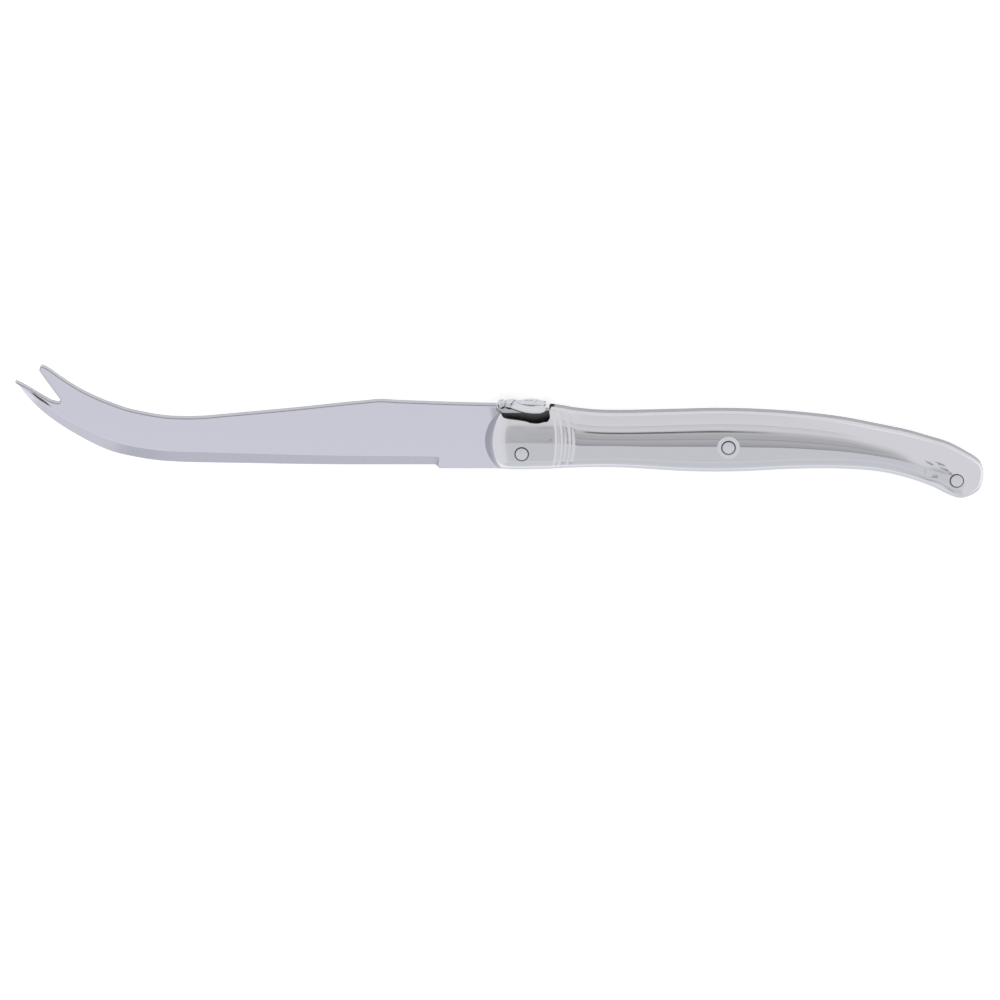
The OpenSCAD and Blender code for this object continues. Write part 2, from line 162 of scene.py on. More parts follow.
heel_x = -ricasso_l - heel_r * math.sin(math.radians(heel_turn))
heel_line = arc((heel_x, -heel_r), heel_r, 90 - heel_turn, 90, 8)
edge_line = smooth([(heel_x, 0, 0.82 * bevel_w)]
                   + [(-a * blade_l, b * tine_rise, c * bevel_w) for a, b, c in edge_shares], 8)
lower_tip = edge_line[-1]
lower_tine = smooth([(lower_tip[0], lower_tip[1])]
                    + [(lower_tip[0] + a * (notch_centre[0] - lower_tip[0]), b * tine_rise)
                       for a, b in lower_tine_shares], 4)
fork_line = lower_tine[1:] + arc(notch_centre, notch_r, -100, 34, 12)
fork_line += arc(tine_tip, tine_tip_r, 215, 100, 10)

# Each point of the outline carries the width of the slope beside it, the height of its rim over
# the middle plane, and the surface of the slope and the wall that start there.
SATIN, BEVEL, POLISHED, BROKEN, TANG_EDGE, TANG_SIDE = range(6)
back_rim = (broken_edge_w, half_t - broken_edge_w * 0.6, BROKEN)
tang_rim = (tang_edge_w, half_t - tang_edge_w, TANG_EDGE)
heel_rim = (fine_edge_w, half_t - fine_edge_w, BROKEN)
outline = [(*p, *back_rim) for p in smooth(back_line, 6)[::-1]]
# Under the front half of the bee a band of the tang's side is ground satin, like the blade's, and stays light
# above the painted shade
seat_band_w, seat_band_drop = 0.62, 0.02
band_start, band_end, band_fade_end = seat_x + 0.9, seat_x + seat_l * 0.5, seat_x + seat_l * 0.56
band_rim = (seat_band_w, half_t - seat_band_drop, SATIN)
outline += [(seat_x, seat_y, *tang_rim), (band_start, seat_y, *band_rim)]
tang_start = len(outline) - 1
outline += [(band_end, seat_y, *band_rim), (band_fade_end, seat_y, *tang_rim),
            (seat_x + seat_l, seat_y, *tang_rim)]
# Behind the seat the tang follows the handle's stations
outline += [(r[0], r[1], *tang_rim) for r in handle_rows if r[0] > seat_x + seat_l + 1]
outline += [(r[0], r[2], *tang_rim) for r in handle_rows[::-1]]
tang_end = len(outline) - 1
# The bevel runs out inside the heel's curve
bevel_end_x, heel_bevel_w = heel_x + 0.75, bevel_w * 0.8
outline += [(x, y, *heel_rim) for x, y in heel_line if x > bevel_end_x]
outline += [(x, y, heel_bevel_w, edge_t / 2, BEVEL) for x, y in heel_line if x <= bevel_end_x][:-1]
outline += [(x, y, w, edge_t / 2, BEVEL) for x, y, w in edge_line]
# The fork's broken edges grow to their full width over about this length from the lower tine's tip
fork_fade_l = 1.5
for p in fork_line:
    grown = min(1, 0.2 + math.dist(p, lower_tip[:2]) / fork_fade_l)
    outline.append((*p, fine_edge_w * grown, half_t - 0.1, BROKEN))


def inward(loop):
    """For each point of a clockwise loop, the way in, longer at corners so that slopes keep their width."""
    p = np.array(loop)
    along = np.roll(p, -1, 0) - p
    along /= np.linalg.norm(along, axis=1)[:, None]
    side = np.stack([along[:, 1], -along[:, 0]], 1)
    before = np.roll(side, 1, 0)
    bisector = side + before
    bisector /= np.linalg.norm(bisector, axis=1)[:, None]
    return bisector / np.maximum((bisector * side).sum(1), 0.55)[:, None]


def ring_sides(rings, count):
    """The faces between rings of points, each ring with the same count."""
    faces = []
    for low in range(0, (rings - 1) * count, count):
        faces += [(low + i, low + (i + 1) % count, low + count + (i + 1) % count, low + count + i)
                  for i in range(count)]
    return faces


def ring_ends(rings, count):
    """The two faces that close the first ring and the last."""
    return [list(range(count)), list(range((rings - 1) * count, rings * count))]


def ringed(loop, rings):
    """The points of rings of a clockwise loop, each set in by a width and lifted to a height."""
    loop = np.array(loop, float)
    way, count, points = inward(loop), len(loop), []
    for widths, heights in rings:
        flat = loop + way * np.broadcast_to(widths, (count,))[:, None]
        points += [(x, y, h) for (x, y), h in zip(flat, np.broadcast_to(heights, (count,)))]
    return points


def make_piece(name, points, faces, finishes, face_finish=None, crease=32):
    """A closed mesh in mm, with its finishes, smooth but for edges past the crease angle."""
    mesh = bpy.data.meshes.new(name)
    mesh.from_pydata([tuple(p) for p in points], [], [tuple(int(i) for i in f) for f in faces])
    for finish in finishes:
        mesh.materials.append(finish)
    if face_finish:
        mesh.polygons.foreach_set("material_index", face_finish)
    whole = bmesh.new()
    whole.from_mesh(mesh)
    bmesh.ops.recalc_face_normals(whole, faces=whole.faces)
    whole.to_mesh(mesh)
    whole.free()
    mesh.shade_smooth()
    mesh.set_sharp_from_angle(angle=math.radians(crease))
    piece = bpy.data.objects.new(name, mesh)
    bpy.context.scene.collection.objects.link(piece)
    return piece


def cut(piece, tools, crease=32, operation="DIFFERENCE"):
    """Cuts the tools out of the piece, or joins them to it, and removes them."""
    for tool in tools:
        step = piece.modifiers.new("cut", "BOOLEAN")
        step.operation, step.solver, step.object = operation, "MANIFOLD", tool
        step.material_mode = "TRANSFER"
    state = bpy.context.evaluated_depsgraph_get()
    mesh = bpy.data.meshes.new_from_object(piece.evaluated_get(state))
    piece.modifiers.clear()
    old, piece.data = piece.data, mesh
    mesh.name = piece.name
    mesh.shade_smooth()
    mesh.set_sharp_from_angle(angle=math.radians(crease))
    bpy.data.meshes.remove(old)
    for tool in tools:
        shape = tool.data
        bpy.data.objects.remove(tool)
        bpy.data.meshes.remove(shape)


def set_in_frame(piece, node):
    """Brings a finished piece from mm to its place in the frame, where it shows instead of its CAD node."""
    piece.data.transform(Matrix.Translation(placed((0, 0, 0))) @ Matrix.Scale(0.001, 4))
    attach(piece, "root")
    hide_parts(node)


def linear(text):
    """An sRGB hex colour as the linear colour that the shaders take."""
    parts = [int(text[i:i + 2], 16) / 255 for i in (1, 3, 5)]
    return tuple(c / 12.92 if c <= 0.04045 else ((c + 0.055) / 1.055) ** 2.4 for c in parts) + (1.0,)


def add_node(tree, kind, sockets=None, **settings):
    """Adds a node. sockets gives each input a value, or another node's output to link to."""
    node = tree.nodes.new(kind)
    for key, value in settings.items():
        setattr(node, key, value)
    for key, value in (sockets or {}).items():
        if isinstance(value, bpy.types.NodeSocket):
            tree.links.new(value, node.inputs[key])
        else:
            node.inputs[key].default_value = value
    return node


def steel(name, base, roughness, grain_mm, height_mm, spread=0.15, tint=0.06, round_point=None):
    """A stainless steel finish. Grain of the given size on each axis in mm changes the roughness by a
    share and the colour a little, and raises the surface. With a round_point it runs in rings round it."""
    finish = bpy.data.materials.new(name)
    finish.use_nodes = True
    tree = finish.node_tree
    tree.nodes.clear()
    place = add_node(tree, "ShaderNodeTexCoord").outputs["Object"]
    if round_point:
        off = add_node(tree, "ShaderNodeVectorMath", {0: place, 1: round_point},
                       operation="SUBTRACT").outputs[0]
        flat = add_node(tree, "ShaderNodeVectorMath", {0: off, 1: (1, 1, 0)}, operation="MULTIPLY").outputs[0]
        away = add_node(tree, "ShaderNodeVectorMath", {0: flat}, operation="LENGTH").outputs["Value"]
        place = add_node(tree, "ShaderNodeCombineXYZ", {"X": away}).outputs[0]
    fine = add_node(tree, "ShaderNodeVectorMath",
                    {0: place, 1: tuple(1000 / g for g in grain_mm)}, operation="MULTIPLY").outputs[0]
    grain = add_node(tree, "ShaderNodeTexNoise",
                     {"Vector": fine, "Scale": 1.0, "Detail": 3.0, "Roughness": 0.6}).outputs["Fac"]
    rough = add_node(tree, "ShaderNodeMapRange",
                     {"Value": grain, "From Min": 0.3, "From Max": 0.7,
                      "To Min": roughness * (1 - spread), "To Max": roughness * (1 + spread)}).outputs[0]
    deep = tuple(c * (1 - tint) for c in linear(base)[:3]) + (1.0,)
    shade = add_node(tree, "ShaderNodeMix", {0: grain, 6: deep, 7: linear(base)}, data_type="RGBA").outputs[2]
    raised = add_node(tree, "ShaderNodeBump",
                      {"Height": grain, "Strength": 1.0, "Distance": height_mm / 1000}).outputs["Normal"]
    body = add_node(tree, "ShaderNodeBsdfPrincipled",
                    {"Base Color": shade, "Metallic": 1.0, "Roughness": rough, "Normal": raised})
    add_node(tree, "ShaderNodeOutputMaterial", {"Surface": body.outputs[0]})
    return finish


# Satin ground steel: fine grinding lines across the blade, about 0.4 mm apart, drawn that coarse
# so that they show, which spread each reflection into an even cool grey
satin_ground_steel = steel("satin_ground_steel", "#e9e8f2", 0.17, (0.4, 9.0, 9.0), 0.0004,
                           spread=0.1, tint=0.03)
# The bevel is ground finer, so it is a little clearer
ground_bevel_steel = steel("ground_bevel_steel", "#cfd0d9", 0.2, (0.3, 3.0, 3.0), 0.0004, tint=0.04)
# The back and the fork's walls are polished on a soft wheel
polished_edge_steel = steel("polished_edge_steel", "#abadb2", 0.16, (6.0, 1.0, 1.0), 0.0006, tint=0.03)
# The corners are broken with a stone and left grey
broken_edge_steel = steel("broken_edge_steel", "#96969c", 0.3, (2.0, 0.5, 0.5), 0.0005, tint=0.1)
# The tang's edge shows between the shells, belt ground and duller than they are
belt_ground_tang_steel = steel("belt_ground_tang_steel", "#9fa0a4", 0.34, (5.0, 0.3, 0.3), 0.0015, tint=0.1)
# The tang's sides inside the handle are dull, and their dark colour is painted shade, for the shade of the
# hollow under the bee's wings and the shells
tang_side_painted_shade_steel = steel("tang_side_painted_shade_steel", "#6a6765", 0.4, (2.5, 2.5, 2.5), 0.002,
                            spread=0.25, tint=0.35)

slope, rim_z = [np.array([p[k] for p in outline]) for k in (2, 3)]
# The polish stops short of the broken edges, so the wall keeps a grey border on both sides
polish_share = 0.65
polish_z = polish_share * rim_z
rings = [(slope, -half_t), (0, -rim_z), (0, -polish_z), (0, polish_z), (0, rim_z), (slope, half_t)]
count = len(outline)
points, faces = ringed([p[:2] for p in outline], rings), ring_sides(len(rings), count)
sides = [POLISHED if ring == 2 and p[4] == BROKEN else p[4]
         for ring in range(len(rings) - 1) for p in outline]
# The two flat sides are each in two faces, tang and blade, so that the tang can carry painted shade
tang = list(range(tang_start, tang_end + 1))
rest = list(range(tang_end, count)) + list(range(tang_start + 1))
for ring in (0, len(rings) - 1):
    for face, side in ((tang, TANG_SIDE), (rest, SATIN)):
        faces.append([ring * count + i for i in face])
        sides.append(side)
blade = make_piece("blade_and_tang", points, faces,
                   [satin_ground_steel, ground_bevel_steel, polished_edge_steel, broken_edge_steel,
                    belt_ground_tang_steel, tang_side_painted_shade_steel], sides, crease=12)
# The pins' places, and how far a cutting tool stands out of what it cuts
pin_d, pin_gap, over = 3.0, 0.05, 1.0
rear_pin_x = grip_l - 6.6
middle_y = np.interp(rear_pin_x, [r[0] for r in handle_rows], [(r[1] + r[2]) / 2 for r in handle_rows])
pins = {"front": (8.9, 4.0), "middle": (59.0, 5.6), "rear": (rear_pin_x, middle_y - 1.1)}


def turned(profile, centre, steps=64):
    """A solid of revolution about z at a centre, from radii and heights in mm."""
    x, y = centre
    around = [2 * math.pi * k / steps for k in range(steps)]
    points = [(x + r * math.cos(a), y + r * math.sin(a), z) for r, z in profile for a in around]
    return points, ring_sides(len(profile), steps) + ring_ends(len(profile), steps)


def ball(centre, size, steps=32):
    """An ellipsoid from its centre and three half lengths in mm."""
    x, y, z = centre
    down = [math.pi * k / steps for k in range(1, steps)]
    around = [2 * math.pi * k / steps for k in range(steps)]
    points = [(x + size[0] * math.sin(a) * math.cos(b), y + size[1] * math.cos(a),
               z + size[2] * math.sin(a) * math.sin(b)) for a in down for b in around]
    return points, ring_sides(steps - 1, steps) + ring_ends(steps - 1, steps)


def drill(d, low, high, centre, finish):
    """A cutting cylinder of a diameter between two heights."""
    return make_piece("drill", *turned([(d / 2, low), (d / 2, high)], centre), [finish])


# The dark mark on the lower tine: x, y and half width along it. It thins out at its two ends
mark = [(-110.2, 18.85, 0.02), (-109.2, 18.05, 0.26), (-107.4, 16.6, 0.4), (-106, 15.55, 0.26),
        (-104.9, 14.8, 0.02)]
mark_depth = 0.16
# The mark is a shallow groove, and its dark brown colour is a painted dark reflection
groove_painted_reflection_steel = steel("groove_painted_reflection_steel", "#77706e", 0.35, (1.0, 1.0, 1.0), 0.001, tint=0.2)
mark_tools = []
for side in (1, -1):
    top, low, points = side * (half_t + mark_depth), side * (half_t - mark_depth), []
    for x, y, w in mark:
        points += [(x - w, y - w, top), (x + w, y + w, top), (x, y, low if w > 0.1 else side * half_t)]
    faces = ring_sides(len(mark), 3) + ring_ends(len(mark), 3)
    mark_tools.append(make_piece("mark_tool", points, faces, [groove_painted_reflection_steel]))
cut(blade, [drill(pin_d + 2 * pin_gap, -half_t - over, half_t + over, p, belt_ground_tang_steel)
            for p in pins.values()] + mark_tools, crease=12)
set_in_frame(blade, "blade")

# HANDLE SHELLS
# Two half shells pressed from 1 mm stainless sheet and polished, one on each side of the tang, with
# a bolster at the front, beads at the neck and a scallop cut in the upper edge under the bee.
back_round_w, belly_round_w = 7.85, 2.9
crease_angle, bow_r_share = 5.0, 1.25
scallop_depth = 3.6
rise = grip_t / 2 - half_t
inner_share = 1 - wall_t / rise
bow_end_share = math.sqrt(bow_r_share ** 2 - 1)
# Steps over the back shoulder, the flat and the belly shoulder, as angles of the quarter ellipses. One
# close to the crease keeps it crisp
turn, crease_step = 90 - crease_angle, 0.6
back_angles = [turn * k / 22 for k in range(22)] + [turn - crease_step]
belly_angles = [turn - crease_step] + [turn * k / 12 for k in range(11, -1, -1)]
flat_steps = (0.0, 0.012, 0.25, 0.5, 0.75, 0.988, 1.0)


def bowed(s):
    """How far the bolster's front stands forward at a share of its half width."""
    return (math.sqrt(bow_r_share ** 2 - min(1.0, s * s)) - bow_end_share) / (bow_r_share - bow_end_share)


def station(row, inner):
    """One cross-section of a shell from the rim at the back to the rim at the belly."""
    x, back, belly, crown, back_share, bow, end = row
    crown = min(1.0, crown)
    shrink = 1 - inner * 2 * wall_t / grip_w
    middle, half = (back + belly) / 2, (back - belly) / 2 * shrink
    # The belly's shoulder widens behind the neck
    belly_w = belly_round_w * np.interp(x, (neck_l, neck_l + behind_neck * 0.2), (1, 1.16))
    room = min(1.0, (back - belly) * 0.98 / (back_share * back_round_w + belly_w))
    back_w, belly_w = back_share * back_round_w * room * shrink, belly_w * room * shrink
    up = crown * rise * (inner_share if inner else 1)
    full = math.radians(turn)

    def over_edge(a, w, edge, way):
        a = math.radians(a)
        away = w * (1 - math.cos(a)) / (1 - math.cos(full))
        return edge - way * away, half_t + up * math.sin(a) / math.sin(full)

    upper, lower = middle + half, middle - half
    section = [over_edge(a, back_w, upper, 1) for a in back_angles]
    section += [(upper - back_w + (lower + belly_w - upper + back_w) * t, half_t + up) for t in flat_steps]
    section += [over_edge(a, belly_w, lower, -1) for a in belly_angles]
    shift = x + inner * end * wall_t
    return [(shift + bolster_bow * bow * bowed((y - middle) / half), y, z) for y, z in section]


# Polished pressed steel: nearly a mirror, with the faint waves of the press and the wheel
polished_pressed_steel = steel("polished_pressed_steel", "#dadade", 0.07, (14.0, 5.0, 5.0), 0.004,
                               spread=0.25, tint=0.02)
# The bolster is polished after the beads are pressed, on a softer wheel, so it mirrors less sharply
soft_polished_steel = steel("soft_polished_steel", "#dedee2", 0.2, (8.0, 5.0, 5.0), 0.003,
                            spread=0.2, tint=0.02)
# Its front wall is brushed, and its greyer colour is painted shade, for the darker surroundings that it
# mirrors
brushed_front_painted_shade_steel = steel("brushed_front_painted_shade_steel", "#b3b5ba", 0.36, (4.0, 4.0, 0.4), 0.001, tint=0.05)
# The same polish on the belly's lower edge, with a greyer base that is painted shade, so that it shows dim
polished_belly_painted_shade_steel = steel("polished_belly_painted_shade_steel", "#bcbec5", 0.14, (14.0, 5.0, 5.0), 0.003,
                             spread=0.2, tint=0.02)
# The same on the rim along the back, where the white table is mirrored, with a greyer base: painted shade
# that dims that reflection
polished_rim_painted_shade_steel = steel("polished_rim_painted_shade_steel", "#c9c9cd", 0.12, (14.0, 5.0, 5.0), 0.003,
                           spread=0.2, tint=0.02)
# The same on the crease at the belly's shoulder, with a paler base: a thin painted highlight
crease_painted_highlight_steel = steel("crease_painted_highlight_steel", "#f2f2f5", 0.12, (9.0, 2.0, 2.0), 0.001,
                              spread=0.2, tint=0.02)
# Inside, the sheet is dull, and its dark colour is painted shade of the hollow; the cut walls of the scallop
# and the pin holes take it too
shell_inside_painted_shade_steel = steel("shell_inside_painted_shade_steel", "#6a6765", 0.5, (1.5, 1.5, 1.5), 0.002, spread=0.3, tint=0.4)

# The outer surface and then the inner one, each as n stations of m points
skin = [p for inner in (0, 1) for row in handle_rows for p in station(row, inner)]
n = len(handle_rows)
m = len(skin) // (2 * n)
faces, finish_of = [], []
POLISH, SHADED_INSIDE, SOFT, FRONT, BELLY, RIM, CREASE = range(7)
# The strips along the shell that differ from the rest, counted from the rim at the back
belly_from, rim_strips, shoulder_strips = m - len(belly_angles), 5, 5
strip_finish = {belly_from - 1: CREASE}
strip_finish.update({j: RIM for j in range(rim_strips)})
strip_finish.update({j: BELLY for j in range(belly_from + shoulder_strips, m)})
# The bolster's front wall ends at this share of the height, and its soft polish among the beads
front_crown, front_end_x, bolster_end_x = 0.74, neck_l * 0.3, neck_l * 0.8
for layer in (0, 1):
    for i in range(n - 1):
        x, crown = handle_rows[i + 1][0], handle_rows[i + 1][3]
        outer = FRONT if x < front_end_x and crown < front_crown else SOFT if x < bolster_end_x else POLISH
        for j in range(m - 1):
            a = layer * n * m + i * m + j
            faces.append((a, a + m, a + m + 1, a + 1))
            finish_of.append(SHADED_INSIDE if layer else outer if outer == FRONT else strip_finish.get(j, outer))
# The rims that lie on the tang, and the bolster's end
for j in (0, m - 1):
    faces += [(i * m + j, n * m + i * m + j, n * m + i * m + m + j, i * m + m + j) for i in range(n - 1)]
faces += [(j, j + 1, n * m + j + 1, n * m + j) for j in range(m - 1)]
# The butt's end is closed by a small wall that shows and is polished
end = (n - 1) * m
faces += [(end, end + m - 1, n * m + end + m - 1, n * m + end), list(range(n * m + end, n * m + end + m)),
          list(range(end, end + m))]
finish_of += [SHADED_INSIDE] * (len(faces) - len(finish_of) - 1) + [POLISH]

crown_x, crown_share = [r[0] for r in handle_rows], [min(1.0, r[3]) for r in handle_rows]


def crown_z(x):
    """Height of a shell's top over the middle plane."""
    return half_t + rise * float(np.interp(x, crown_x, crown_share))


scallop_x, scallop_l, scallop_top = bolster_bow, neck_l * 0.56, grip_w * 0.98
scallop_shares = [
    (0.02, 0.3), (0.045, 0.47), (0.09, 0.63), (0.188, 0.69), (0.375, 0.761), (0.515, 0.844), (0.61, 0.94),
    (0.746, 0.97), (0.858, 0.89), (0.933, 0.845), (0.98, 0.58), (0.97, 0.24), (1, 0.05), (1.03, -0.1)]
lip = smooth([(scallop_x + a * scallop_l, scallop_top - b * scallop_depth) for a, b in scallop_shares], 5)
lip = [tuple(p) for p in lip] + [(lip[-1][0], scallop_top + over), (lip[0][0], scallop_top + over)]
ring_d, ring_depth = 3.7, 0.3
boss_d, boss_rise, boss_edge = 5.5, 0.01, 0.05
# The countersinks are cut with a bright cone, and their dark grey colour is painted shade in the thin ring
countersink_painted_shade_steel = steel("countersink_painted_shade_steel", "#8e8f95", 0.1, (0.5, 0.5, 0.5), 0.0005,
                          spread=0.2, tint=0.04)
# The flat of the boss is polished too, and its paler colour is a painted highlight
boss_painted_highlight_steel = steel("boss_painted_highlight_steel", "#e6e6ea", 0.1, (3.0, 3.0, 3.0), 0.001,
                            spread=0.2, tint=0.02)
# Shallow marks of the press near the butt, and a dot at the neck: x, y, half length, half width, depth
dents = [(110.2, 1.3, 0.24, 0.28, 0.25), (110.3, 1.4, 1.5, 1.2, 0.035), (111.4, 0.1, 1.8, 0.7, 0.035),
         (107.6, 1.7, 1.3, 0.9, 0.04), (112.7, -0.9, 1.1, 0.5, 0.03), (106.7, -0.6, 0.2, 1.1, 0.02),
         (109.2, -1.6, 1.5, 0.5, 0.025), (15.9, 7.6, 0.22, 0.26, 0.2)]
# The marks' greyer colour is painted shade in the hollows of the dents
press_mark_painted_shade_steel = steel("press_mark_painted_shade_steel", "#c6c7cc", 0.12, (1.0, 1.0, 1.0), 0.002,
                         spread=0.3, tint=0.06)
shell_finishes = [polished_pressed_steel, shell_inside_painted_shade_steel, soft_polished_steel, brushed_front_painted_shade_steel,
                  polished_belly_painted_shade_steel, polished_rim_painted_shade_steel, crease_painted_highlight_steel]
for name, side in (("left_shell", 1), ("right_shell", -1)):
    shell = make_piece(name, [(x, y, side * z) for x, y, z in skin], faces, shell_finishes, finish_of)
    # The middle pin's boss, pressed flat
    top = crown_z(pins["middle"][0]) + boss_rise
    boss = [(boss_d / 2, top - 0.5), (boss_d / 2, top - boss_edge), (boss_d / 2 - boss_edge, top)]
    boss = turned([(r, side * z) for r, z in boss], pins["middle"])
    cut(shell, [make_piece("boss_tool", *boss, [boss_painted_highlight_steel])], operation="UNION")
    low, high = sorted((-side * over, side * grip_t))
    tools = [make_piece("scallop_tool", ringed(lip[::-1], [(0, low), (0, high)]),
                        ring_sides(2, len(lip)) + ring_ends(2, len(lip)), [shell_inside_painted_shade_steel])]
    for p in pins.values():
        top = crown_z(p[0]) + 0.02
        tools.append(drill(pin_d + 2 * pin_gap, *sorted((0, side * grip_t)), p, shell_inside_painted_shade_steel))
        cone = [(pin_d / 2, top - ring_depth), (ring_d / 2, top), (ring_d / 2, grip_t)]
        tools.append(make_piece("cone", *turned([(r, side * z) for r, z in cone], p), [countersink_painted_shade_steel]))
    bpy.context.view_layer.update()
    for x, y, long, wide, deep in dents:
        found, where, _, _ = shell.ray_cast((x, y, side * grip_t), (0, 0, -side))
        if found:
            tools.append(make_piece("dent", *ball(where, (long, wide, deep), 16), [press_mark_painted_shade_steel]))
    cut(shell, tools)
    set_in_frame(shell, "left_handle_shell" if side > 0 else "right_handle_shell")

# BEE
# A small bee cast in stainless steel and polished, a traditional ornament of such knives. It
# is soldered in a seat in the tang's upper edge: head to the blade, wings spread over the scallop.
bee_x = seat_x + 0.12
wing_t, wing_slope, wing_top = 0.6, 20.0, seat_y + 2.28
# Cast and polished steel: bright on top
polished_bee_steel = steel("polished_bee_steel", "#cdced3", 0.26, (1.2, 1.2, 1.2), 0.002, spread=0.25)
# Its engraved lines are dark, and the same dark on the walls under the wings' rims is painted shadow
dark_line_painted_shadow_steel = steel("dark_line_painted_shadow_steel", "#54545a", 0.45, (0.5, 0.5, 0.5), 0.003,
                            spread=0.2, tint=0.3)


def on_wing(u, z, h=0.0):
    """A point at a height over the slope of a wing's top, u behind the bee's front."""
    return (bee_x + u, wing_top - math.tan(math.radians(wing_slope)) * abs(z) + h, z)


def wing(side):
    """One wing: a leaf with a rounded upper rim that slopes down from the back of the bee."""
    leaf = smooth([(4.5, 0.06), (3.15, 2.2), (3.5, 2.85), (4.78, 3.65), (6.0, 4.25), (7.2, 4.65),
                   (8.7, 4.9), (10.3, 4.85), (11.3, 4.3), (11.75, 3.5), (11.6, 2.6), (11.0, 1.5),
                   (10.0, 0.3), (7.0, 0.06)], 4)
    rings = [(0.3, -wing_t), (0, -wing_t + 0.12), (0, -0.22), (0.07, -0.1), (0.2, -0.03), (0.42, 0.0)]
    points = [on_wing(x, side * z, h) for x, z, h in ringed(leaf, rings)]
    # The wall under the rim takes the dark too: a painted shadow
    finish = [1 if ring == 1 else 0 for ring in range(len(rings) - 1) for _ in leaf] + [0, 0]
    return make_piece("wing", points, ring_sides(len(rings), len(leaf)) + ring_ends(len(rings), len(leaf)),
                      [polished_bee_steel, dark_line_painted_shadow_steel], finish)


# The base that stands in the seat, and over it head, thorax and abdomen, each a place and half lengths
foot = ringed([(0.35, 1.25), (10.8, 1.25), (10.8, -1.25), (0.35, -1.25)], [(0, 0), (0, 1.2)])
bee = make_piece("bee_ornament", [(bee_x + x, seat_y + h, z) for x, z, h in foot],
                 ring_sides(2, 4) + ring_ends(2, 4), [polished_bee_steel, dark_line_painted_shadow_steel])
belly_at, belly_size = (8.2, 1.22), (3.6, 1.2, 2.4)
rounds = [((1.12, 1.22), (1.15, 1.22, 1.75)), ((3.3, 1.2), (2.1, 1.2, 2.1)), (belly_at, belly_size)]
shapes = [ball((bee_x + at[0], seat_y + at[1], 0), size) for at, size in rounds]
shapes = [make_piece("bee_shape", *shape, [polished_bee_steel]) for shape in shapes]
cut(bee, shapes + [wing(1), wing(-1)], operation="UNION")


def on_belly(u, z):
    """A point on the back of the bee's abdomen."""
    share = ((u - belly_at[0]) / belly_size[0]) ** 2 + (z / belly_size[2]) ** 2
    return (bee_x + u, seat_y + belly_at[1] + belly_size[1] * math.sqrt(max(0.0, 1 - share)), z)


def groove(line, width, depth):
    """A V-shaped cutting tool along a line of points on the bee's top, each x, y and z in mm."""
    line, deep, points = [Vector(p) for p in line], Vector((0, depth, 0)), []
    for i, p in enumerate(line):
        way = (line[min(i + 1, len(line) - 1)] - line[max(i - 1, 0)]).normalized()
        side = way.cross(Vector((0, 1, 0))).normalized() * width / 2
        points += [p - side + deep, p + side + deep, p - deep]
    return make_piece("groove_tool", points, ring_sides(len(line), 3) + ring_ends(len(line), 3),
                      [dark_line_painted_shadow_steel])


def on_head(u, z, h):
    """A point at a height over the seat's floor."""
    return (bee_x + u, seat_y + h, z)


# The engraved lines on each side: the surface they lie on, their points, width and depth. They are the
# wing's front edge, its root, the abdomen's two markings, the eye, and the neck.
engraved = [(on_wing, [(4.5, 0.02), (3.9, 1.1), (3.15, 2.3)], 0.24, 0.3),
            (on_wing, [(4.6, 0.8), (6, 1.85), (8.2, 2.4), (10.2, 2.2), (11.3, 1.9)], 0.2, 0.14),
            (on_belly, [(6.5, 0.35), (7.5, 0.8), (8.8, 0.85)], 0.22, 0.15),
            (on_belly, [(9.7, 0.1), (9.5, 0.9), (9.0, 1.6)], 0.12, 0.07),
            (on_head, [(0.8, 0.75, 2.3), (1.3, 0.8, 2.3)], 0.28, 0.2),
            (on_head, [(2.1, 0.1, 2.28), (2.1, 1.2, 1.9), (2.1, 1.9, 1.2)], 0.16, 0.25)]
cut(bee, [groove([surface(u, side * z, *h) for u, z, *h in line], width, depth)
          for side in (1, -1) for surface, line, width, depth in engraved])
set_in_frame(bee, "bee")

# RIVETS
# Three turned stainless pins through tang and shells, their ends ground flush and faintly domed.
# Each stands in a shallow countersink that shows as a thin ring.
for place, p in pins.items():
    tip = crown_z(p[0])
    middle = placed((p[0], p[1], 0))
    # A turned end: fine rings round its middle, 0.15 mm apart
    turned_pin_steel = steel(f"turned_pin_steel_{place}", "#e6e5ea", 0.13, (0.15, 0.15, 0.15), 0.0002,
                             spread=0.2, tint=0.04, round_point=middle)
    r = pin_d / 2
    upper = [(r, tip - 0.1), (r - 0.04, tip - 0.01), (r * 0.6, tip)]
    profile = [(a, -z) for a, z in upper[::-1]] + upper
    rivet = make_piece(f"{place}_pin", *turned(profile, p), [turned_pin_steel], crease=12)
    set_in_frame(rivet, f"{place}_rivet")

# SPACER BUSHES
# Six short tubes on the pins, between the tang and the shells, which stop the hollow shells from
# being squeezed when the pins are pressed. They are sawn from tube and stay out of sight.
sawn_tube_steel = steel("sawn_tube_steel", "#8c8d90", 0.4, (0.6, 0.6, 0.6), 0.002, spread=0.25, tint=0.15)
for name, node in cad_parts.items():
    if name.endswith("_spacer"):
        node.data.materials.clear()
        node.data.materials.append(sawn_tube_steel)

# FLOOR, LIGHT AND CAMERA
# A wide white table in an even studio. The sky's bands are the lamps and the gaps between them, by
# the angle over the knife from its edge side to its back, and they draw the lines in the polish.
sheet = bpy.data.meshes.new("white_table")
reach = 30.0
corners = [(-reach, -reach, 0), (reach, -reach, 0), (reach, reach, 0), (-reach, reach, 0)]
sheet.from_pydata(corners, [], [(0, 1, 2, 3)])
floor = bpy.data.objects.new("white_table", sheet)
bpy.context.scene.collection.objects.link(floor)
